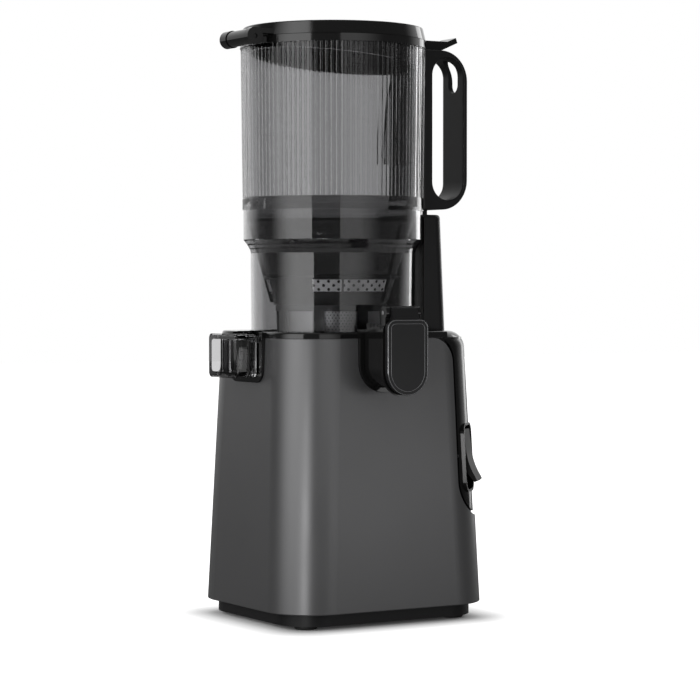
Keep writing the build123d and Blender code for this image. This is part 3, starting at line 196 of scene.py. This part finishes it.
def smoked(name, tint, pass_tint, thick_tint=None, bend=1.49, coat=0.0):
    """Smoked clear plastic that lets lamps through; thick_tint colours the thick band."""
    material, tree, shader = new_material(name)
    shader.inputs["Base Color"].default_value = (*tint, 1.0)
    if thick_tint:
        height = object_axes(tree)["Z"]
        above = calculate(tree, "GREATER_THAN", height, THICK_BAND[0])
        below = calculate(tree, "LESS_THAN", height, THICK_BAND[1])
        two_tone(tree, shader, calculate(tree, "MULTIPLY", above, below), tint, thick_tint)
    shader.inputs["Transmission Weight"].default_value = 1.0
    shader.inputs["IOR"].default_value = bend
    shader.inputs["Coat Weight"].default_value = coat
    vary_roughness(tree, shader, add_noise(tree, scale=30.0), 0.015, 0.035)
    clear = tree.nodes.new("ShaderNodeBsdfTransparent")
    clear.inputs["Color"].default_value = (*pass_tint, 1.0)
    rays = tree.nodes.new("ShaderNodeLightPath")
    mix = tree.nodes.new("ShaderNodeMixShader")
    tree.links.new(rays.outputs["Is Shadow Ray"], mix.inputs["Fac"])
    tree.links.new(shader.outputs["BSDF"], mix.inputs[1])
    tree.links.new(clear.outputs["BSDF"], mix.inputs[2])
    tree.links.new(mix.outputs["Shader"], tree.nodes["Material Output"].inputs["Surface"])
    return material


def staggered_holes(tree, turn, height, wall_radius, count, row_pitch, hole_radius):
    """1 inside round holes set in staggered rows on an upright tube, else 0."""
    pitch = 2 * math.pi * wall_radius / count
    rows = calculate(tree, "DIVIDE", height, row_pitch)
    row = calculate(tree, "FLOOR", rows)
    stagger = calculate(tree, "MULTIPLY", calculate(tree, "PINGPONG", row, 1.0), 0.5)
    along = calculate(tree, "ADD", calculate(tree, "MULTIPLY", turn, count), stagger)
    across = calculate(tree, "SUBTRACT", calculate(tree, "FRACT", along), 0.5)
    up = calculate(tree, "SUBTRACT", calculate(tree, "FRACT", rows), 0.5)
    wide = calculate(tree, "POWER", calculate(tree, "MULTIPLY", across, pitch), 2.0)
    tall = calculate(tree, "POWER", calculate(tree, "MULTIPLY", up, row_pitch), 2.0)
    return calculate(tree, "LESS_THAN", calculate(tree, "ADD", wide, tall), hole_radius ** 2)


def perforated(name, colour, wall_radius, band_low):
    """Steel sheet: large round holes above band_low and an etched fine mesh below."""
    material = metal(name, colour, 0.4, 0.5)
    tree = material.node_tree
    shader = tree.nodes["Principled BSDF"]
    axes = object_axes(tree)
    from_x = calculate(tree, "SUBTRACT", axes["X"], bowl_x)
    from_y = calculate(tree, "SUBTRACT", axes["Y"], base_y)
    angle = calculate(tree, "ARCTAN2", from_y, from_x)
    turn = calculate(tree, "ADD", calculate(tree, "DIVIDE", angle, 2 * math.pi), 1.0)
    height = calculate(tree, "SUBTRACT", axes["Z"], band_low)
    height_above_floor = calculate(tree, "ADD", height, 1.0)  # one metre up keeps it positive
    coarse = staggered_holes(tree, turn, height, wall_radius, *COARSE_HOLES)
    fine = staggered_holes(tree, turn, height_above_floor, wall_radius, *FINE_HOLES)
    upper = calculate(tree, "GREATER_THAN", height, 0.0)
    lower = calculate(tree, "SUBTRACT", 1.0, upper)
    coarse_above = calculate(tree, "MULTIPLY", coarse, upper)
    fine_below = calculate(tree, "MULTIPLY", fine, lower)
    holes = calculate(tree, "ADD", coarse_above, fine_below)
    tree.links.new(calculate(tree, "SUBTRACT", 1.0, holes), shader.inputs["Alpha"])
    return material


screen_low, screen_high = [Vector(corner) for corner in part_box("strainer_screen")]
screen_radius = (screen_high.x - screen_low.x) / 2
band_low = screen_high.z - STEEL_BAND
SMOKE = (0.45, 0.45, 0.455)
SMOKE_SHADOW = (0.5, 0.5, 0.505)
finishes = {
    "satin_housing": plastic(
        "satin_housing", (0.104, 0.104, 0.106), (0.112, 0.112, 0.114), 0.34, 0.38, metallic=0.7
    ),
    "gloss_black": plastic(
        "gloss_black", (0.004, 0.004, 0.004), (0.006, 0.006, 0.006), 0.06, 0.1, relief=0.01
    ),
    "matte_black": plastic(
        "matte_black", (0.006, 0.006, 0.0065), (0.008, 0.008, 0.0085), 0.36, 0.44,
        relief=0.1, shine=0.3,
    ),
    "smoked_clear": smoked("smoked_clear", SMOKE, SMOKE_SHADOW),
    "smoked_dark": smoked("smoked_dark", (0.035, 0.035, 0.036), (0.2, 0.2, 0.202)),
    "auger_resin": plastic("auger_resin", (0.010, 0.010, 0.011), (0.014, 0.014, 0.015), 0.3, 0.4),
    "steel": perforated("steel", (0.5, 0.5, 0.51), screen_radius, band_low),
    "steel_bright": metal("steel_bright", (0.66, 0.66, 0.67), 0.14, 0.24),
    "motor_iron": metal("motor_iron", (0.2, 0.2, 0.21), 0.4, 0.55),
    "gear_nylon": plastic("gear_nylon", (0.72, 0.70, 0.62), (0.78, 0.76, 0.68), 0.4, 0.5),
    "gearbox_grey": plastic("gearbox_grey", (0.15, 0.155, 0.16), (0.18, 0.185, 0.19), 0.45, 0.55),
    "bronze": metal("bronze", (0.55, 0.36, 0.16), 0.3, 0.42),
    "silicone": plastic("silicone", (0.035, 0.036, 0.038), (0.045, 0.046, 0.048), 0.5, 0.6),
    "rubber_black": plastic(
        "rubber_black", (0.008, 0.008, 0.008), (0.012, 0.012, 0.012), 0.65, 0.8, relief=0.2
    ),
    "board_green": plastic("board_green", (0.01, 0.08, 0.035), (0.014, 0.1, 0.045), 0.35, 0.45),
}

# nodes whose surface differs a little from the rest of their slot
own_finishes = {
    "bowl": smoked("bowl_smoke", (0.40, 0.40, 0.405), SMOKE_SHADOW),
    "pulp_outlet": smoked("outlet_smoke", (0.62, 0.62, 0.626), SMOKE_SHADOW, bend=1.15, coat=0.7),
    "hopper": smoked(
        "hopper_smoke", SMOKE, SMOKE_SHADOW, thick_tint=(0.2, 0.2, 0.203), bend=1.12, coat=0.7
    ),
    "switch_paddle": plastic(
        "paddle_black", (0.006, 0.006, 0.006), (0.009, 0.009, 0.009), 0.4, 0.46,
        relief=0.02, shine=0.03,
    ),
    "control_panel": plastic(
        "panel_black", (0.004, 0.004, 0.004), (0.006, 0.006, 0.006), 0.12, 0.16,
        relief=0.01, shine=0.2,
    ),
}
slots = {part["node"]: part["material_slot"] for part in frame["record"]["subparts"]}
for name, node in nodes.items():
    node.data.materials.clear()
    node.data.materials.append(own_finishes.get(name, finishes[slots[name]]))
    node.data.shade_smooth()
    node.data.set_sharp_from_angle(angle=SHARP_ANGLE)


# ---------------------------------------------------------------- fine pieces
def bridge(shape, rings, closed=True):
    """Faces between each ring of points and the next; each ring closes on itself."""
    for ring, after in zip(rings, rings[1:] + rings[:1] if closed else rings[1:]):
        for index in range(len(ring)):
            following = (index + 1) % len(ring)
            shape.faces.new((ring[index], ring[following], after[following], after[index]))


def new_piece(name, shape, body, slot, material=None):
    """Finished mesh object that rides on a body of the frame."""
    bmesh.ops.recalc_face_normals(shape, faces=shape.faces[:])
    mesh = bpy.data.meshes.new(name)
    shape.to_mesh(mesh)
    shape.free()
    mesh.materials.append(material or finishes[slot])
    mesh.shade_smooth()
    mesh.set_sharp_from_angle(angle=SHARP_ANGLE)
    piece = bpy.data.objects.new(name, mesh)
    bpy.context.scene.collection.objects.link(piece)
    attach(piece, body)


def around(shape, section, degrees):
    """Points of a section of (radius, height), set up at an angle round the bowl's axis."""
    turn = math.radians(degrees)
    points = []
    for radius, height in section:
        x = bowl_x + radius * math.cos(turn)
        y = base_y + radius * math.sin(turn)
        points.append(shape.verts.new((x, y, height)))
    return points


def turned_ring(section, count=160):
    """Ring round the bowl's axis from a closed outline of (radius, height) points."""
    shape = bmesh.new()
    bridge(shape, [around(shape, section, 360 * step / count) for step in range(count)])
    return shape


def round_section(radius, height, thickness, count=12):
    """Circle of an O-shaped ring's section."""
    turns = [2 * math.pi * step / count for step in range(count)]
    return [
        (radius + thickness * math.cos(turn), height + thickness * math.sin(turn)) for turn in turns
    ]


def node_radius(node, height, reach=1.5 * MM):
    """Largest distance of a node's points from the bowl's axis near a height."""
    frame_node = nodes[node]
    points = [frame_node.matrix_world @ vertex.co for vertex in frame_node.data.vertices]
    near = [point for point in points if abs(point.z - height) < reach]
    return max((Vector((point.x, point.y, 0)) - bowl_axis).length for point in near)


def funnel_skin(height):
    """Outer radius of the strainer's funnel at a height, just proud of its surface."""
    return funnel_foot + FUNNEL_SLOPE * (height - funnel_low.z) + TRIM_GAP


def wrapped_strip(low, high, centre, half_angle, thickness, count=48):
    """Closed strip on the funnel between two heights, half_angle to each side of centre."""
    section = [
        (funnel_skin(low), low),
        (funnel_skin(low) + thickness, low),
        (funnel_skin(high) + thickness, high),
        (funnel_skin(high), high),
    ]
    shape = bmesh.new()
    turns = [centre + half_angle * (2 * step / count - 1) for step in range(count + 1)]
    sections = [around(shape, section, turn) for turn in turns]
    bridge(shape, sections, closed=False)
    shape.faces.new(sections[0])
    shape.faces.new(sections[-1])
    return shape


# perforated steel windows and a bead round the strainer's funnel
funnel_low = Vector(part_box("strainer_funnel")[0])
funnel_foot = node_radius("strainer_funnel", funnel_low.z)
band_high = band_low + WINDOW_HEIGHT
# lighter copy of the strainer's steel: painted light making up for lamp light held back by the
# smoked bowl
band_steel_painted_light = perforated("steel_band_painted_light", (0.86, 0.86, 0.87), funnel_skin(band_low), band_low)
for number, centre in enumerate(WINDOW_CENTRES, start=1):
    window = wrapped_strip(band_low, band_high, centre, WINDOW_HALF_ANGLE, WINDOW_THICKNESS)
    new_piece(f"perforated_window_{number}", window, "strainer", "steel", band_steel_painted_light)
bead_height = band_high + BEAD_RISE
bead = turned_ring(round_section(funnel_skin(bead_height) + BEAD_OUT, bead_height, BEAD_RADIUS))
bead_steel = metal("bead_steel", (0.6, 0.6, 0.61), 0.4, 0.5)
new_piece("funnel_bead", bead, "strainer", "steel_bright", bead_steel)


def cap_loop(inset):
    """Outline of the cap's face, moved in by inset: (x, z) points, each with its outward turn."""
    radius = (cap_high.x - cap_low.x) / 2 - inset
    corner = CAP_CORNER - inset
    low_centre = cap_low.z + radius + inset
    high_centre = cap_low.z + CAP_FACE_HEIGHT - inset - corner
    arcs = [
        (bowl_x, low_centre, radius, 180, 360, 40),
        (bowl_x + radius - corner, high_centre, corner, 0, 90, 10),
        (bowl_x - radius + corner, high_centre, corner, 90, 180, 10),
    ]
    loop = []
    for x, z, arc_radius, start, end, steps in arcs:
        for step in range(steps + 1):
            turn = math.radians(start + (end - start) * step / steps)
            loop.append(((x + arc_radius * math.cos(turn), z + arc_radius * math.sin(turn)), turn))
    return loop


def cap_bead(inset, radius, proud, count=20):
    """Fine round bead along the cap's outline, sunk so that little of it stands proud."""
    bead_y = cap_face_y + radius - proud
    shape = bmesh.new()
    rings = []
    for (x, z), turn in cap_loop(inset):
        ring = []
        for step in range(count):
            roll = 2 * math.pi * step / count
            out = radius * math.cos(roll)
            y = bead_y - radius * math.sin(roll)
            ring.append(shape.verts.new((x + out * math.cos(turn), y, z + out * math.sin(turn))))
        rings.append(ring)
    bridge(shape, rings)
    return shape


# beads round the juice cap's face for its rounded edges; their lighter, metal-like finish is a
# painted highlight
cap_low, cap_high = [Vector(corner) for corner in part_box("juice_cap")]
cap_node = nodes["juice_cap"]
cap_points = [cap_node.matrix_world @ vertex.co for vertex in cap_node.data.vertices]
cap_face_y = min(point.y for point in cap_points if point.z < cap_low.z + CAP_FACE_HEIGHT / 2)
# lighter copy of the black plastic with a metal's shine: painted highlight lines on the cap's edges
edge_highlight_finish = plastic(
    "edge_highlight_finish", (0.16, 0.16, 0.165), (0.2, 0.2, 0.205), 0.1, 0.16, metallic=0.85
)
for name, inset, radius, proud in CAP_BEADS:
    bead = cap_bead(inset, radius, proud)
    new_piece(f"cap_bead_{name}", bead, "cap", "gloss_black", edge_highlight_finish)


def duct_strip(start, width, steps=8):
    """Flat strip wrapped round the pulp outlet's outside, from start along x, sunk a little."""
    half_y = (outlet_high.y - outlet_low.y) / 2 - STRIP_SINK
    half_z = (outlet_high.z - outlet_low.z) / 2 - STRIP_SINK
    centre_y = (outlet_high.y + outlet_low.y) / 2
    centre_z = (outlet_high.z + outlet_low.z) / 2
    corner = OUTLET_CORNER - STRIP_SINK
    end = start + width
    shape = bmesh.new()
    rings = []
    for x, more in ((start, 0.0), (start, STRIP_THICKNESS), (end, STRIP_THICKNESS), (end, 0.0)):
        ring = []
        for across, up, first in ((1, 1, 0), (-1, 1, 90), (-1, -1, 180), (1, -1, 270)):
            for step in range(steps + 1):
                turn = math.radians(first + 90 * step / steps)
                y = centre_y + across * (half_y - corner) + (corner + more) * math.cos(turn)
                z = centre_z + up * (half_z - corner) + (corner + more) * math.sin(turn)
                ring.append(shape.verts.new((x, y, z)))
        rings.append(ring)
    bridge(shape, rings)
    return shape


# black edge strips round the pulp outlet
outlet_low, outlet_high = [Vector(corner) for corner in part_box("pulp_outlet")]
middle_strip = (MIDDLE_STRIP_SHARE * (outlet_high.x - outlet_low.x), MIDDLE_STRIP_WIDTH)
for number, (start, width) in enumerate((MOUTH_STRIP, middle_strip), start=1):
    strip = duct_strip(outlet_low.x + start, width)
    new_piece(f"outlet_strip_{number}", strip, "bowl", "gloss_black")

# ---------------------------------------------------------------- camera, floor and light
ROOM_LEVEL = 0.12  # what shiny surfaces see of the room in front of the white wall
WALL_DIRECTION = (0.515, 0.857, 0.0)  # from the machine towards the middle of that wall
SHINE_WALL = (0.25, 0.7)  # where the wall fades out in reflections
CLEAR_WALL = (0.45, 0.85)  # and where it fades out seen through clear plastic
FILL_LEVEL = 0.5  # soft light from all round
FLOOR_SIZE = 6.0
FLOOR_DROP = 0.2 * MM
FLOOR_GLOW = (0.02, 1.0)  # inside the painted contact shadow and outside it
PAINTED_SHADOW_INSET = 24 * MM  # of the darkest part of the painted contact shadow from the shell's sides
PAINTED_SHADOW_BLOCK = Vector((shell_high.x - PAINTED_SHADOW_INSET, shell_high.y - base_y - PAINTED_SHADOW_INSET))
PAINTED_SHADOW_REACH = (0.0, 0.068)  # distance from that block where the painted shadow fades into white
LENS = 124.87
SENSOR_WIDTH = 36.0
CAMERA_SPOT = Vector((-1.0226, base_y - 1.7130, 0.2707))
CAMERA_TURN = (math.radians(88.48), 0.0, math.radians(-31.0))
NO_FADING = (-1.0, 0.0)
SOFTBOXES = (  # name, degrees round the machine, distance, height, size, level and fading
    ("left_box", 183.0, 1.5, 0.65, (1.75, 1.7), 2.7, (0.0, 0.6)),
    ("front_box", 276.0, 0.8, 0.45, (0.84, 0.65), 0.9, (1.0, 0.3)),
    ("low_strip", 224.0, 1.3, 0.09, (0.3, 0.17), 15.5, NO_FADING),
    ("low_front", 292.0, 1.0, 0.105, (0.6, 0.18), 1.5, NO_FADING),
    ("right_box", 20.0, 1.5, 0.5, (0.4, 1.3), 2.0, NO_FADING),
)
TOP_BOX_SIZE = 1.2
TOP_BOX_ENERGY = 4.5
TOP_BOX_SPOT = (bowl_x, base_y + 0.3, 1.9)

camera_data = bpy.data.cameras.new("camera")
camera_data.lens = LENS
camera_data.sensor_width = SENSOR_WIDTH
camera = bpy.data.objects.new("camera", camera_data)
camera.location = CAMERA_SPOT
camera.rotation_euler = CAMERA_TURN
bpy.context.scene.collection.objects.link(camera)
bpy.context.scene.camera = camera


def floor_material():
    """White floor: white to the camera and through clear plastic; it keeps the real shadow, and its
    emission dims near the machine in a painted contact shadow.
    """
    material, tree, shader = new_material("floor_white")
    shader.inputs["Roughness"].default_value = 0.9
    shader.inputs["Specular IOR Level"].default_value = 0.0
    shader.inputs["Emission Color"].default_value = (1.0, 1.0, 1.0, 1.0)
    rays = tree.nodes.new("ShaderNodeLightPath")
    two_tone(tree, shader, rays.outputs["Is Glossy Ray"], (0.6, 0.6, 0.6), (0.15, 0.15, 0.15))
    seen = calculate(
        tree, "MAXIMUM", rays.outputs["Is Camera Ray"], rays.outputs["Is Transmission Ray"]
    )
    axes = object_axes(tree)
    squares = []
    for axis, block in (("X", PAINTED_SHADOW_BLOCK.x), ("Y", PAINTED_SHADOW_BLOCK.y)):
        away = calculate(tree, "SUBTRACT", calculate(tree, "ABSOLUTE", axes[axis]), block)
        squares.append(calculate(tree, "POWER", calculate(tree, "MAXIMUM", away, 0.0), 2.0))
    distance = calculate(tree, "POWER", calculate(tree, "ADD", *squares), 0.5)
    # emission dims near the machine: painted contact shadow
    painted_shadow_glow = map_range(tree, distance, PAINTED_SHADOW_REACH, FLOOR_GLOW)
    tree.links.new(calculate(tree, "MULTIPLY", seen, painted_shadow_glow), shader.inputs["Emission Strength"])
    return material


floor_mesh = bpy.data.meshes.new("floor")
floor_shape = bmesh.new()
bmesh.ops.create_grid(floor_shape, x_segments=1, y_segments=1, size=FLOOR_SIZE)
floor_shape.to_mesh(floor_mesh)
floor_shape.free()
floor = bpy.data.objects.new("floor", floor_mesh)
floor.location = (0.0, base_y, -FLOOR_DROP)
floor_mesh.materials.append(floor_material())
bpy.context.scene.collection.objects.link(floor)

world = bpy.data.worlds.new("studio")
bpy.context.scene.world = world
world.use_nodes = True
sky = world.node_tree
background = sky.nodes["Background"]
background.inputs["Color"].default_value = (1.0, 1.0, 1.0, 1.0)
rays = sky.nodes.new("ShaderNodeLightPath")
direction = sky.nodes.new("ShaderNodeTexCoord")
towards = sky.nodes.new("ShaderNodeVectorMath")
towards.operation = "DOT_PRODUCT"
towards.inputs[1].default_value = WALL_DIRECTION
sky.links.new(direction.outputs["Generated"], towards.inputs[0])
fill = calculate(sky, "MULTIPLY", rays.outputs["Is Diffuse Ray"], FILL_LEVEL)
level = calculate(sky, "MAXIMUM", rays.outputs["Is Camera Ray"], fill)
for seen_by, wall_edge in (("Is Glossy Ray", SHINE_WALL), ("Is Transmission Ray", CLEAR_WALL)):
    wall = map_range(sky, towards.outputs["Value"], wall_edge, (ROOM_LEVEL, 1.0))
    seen_wall = calculate(sky, "MULTIPLY", rays.outputs[seen_by], wall)
    level = calculate(sky, "MAXIMUM", level, seen_wall)
sky.links.new(level, background.inputs["Strength"])


def softbox(name, azimuth, distance, height, size, level, fading):
    """Lamp beside the machine, facing it; fading is where it dies away across its width."""
    turn = math.radians(azimuth)
    spot = Vector((bowl_x + distance * math.cos(turn), base_y + distance * math.sin(turn), height))
    data = bpy.data.lights.new(name, "AREA")
    data.shape = "RECTANGLE"
    data.size, data.size_y = size
    data.energy = level * math.pi * size[0] * size[1]
    data.use_nodes = True
    tree = data.node_tree
    across = tree.nodes.new("ShaderNodeNewGeometry")
    axes = tree.nodes.new("ShaderNodeSeparateXYZ")
    tree.links.new(across.outputs["Parametric"], axes.inputs["Vector"])
    fade = map_range(tree, axes.outputs["X"], fading, (0.0, 1.0))
    tree.links.new(fade, tree.nodes["Emission"].inputs["Strength"])
    lamp = bpy.data.objects.new(name, data)
    lamp.location = spot
    facing = Vector((bowl_x, base_y, height)) - spot
    lamp.rotation_euler = facing.to_track_quat("-Z", "Y").to_euler()
    bpy.context.scene.collection.objects.link(lamp)


for lamp_values in SOFTBOXES:
    softbox(*lamp_values)

top_data = bpy.data.lights.new("top_box", "AREA")
top_data.size = TOP_BOX_SIZE
top_data.energy = TOP_BOX_ENERGY
top_lamp = bpy.data.objects.new("top_box", top_data)
top_lamp.location = TOP_BOX_SPOT
bpy.context.scene.collection.objects.link(top_lamp)

bpy.context.scene.view_settings.view_transform = "Standard"
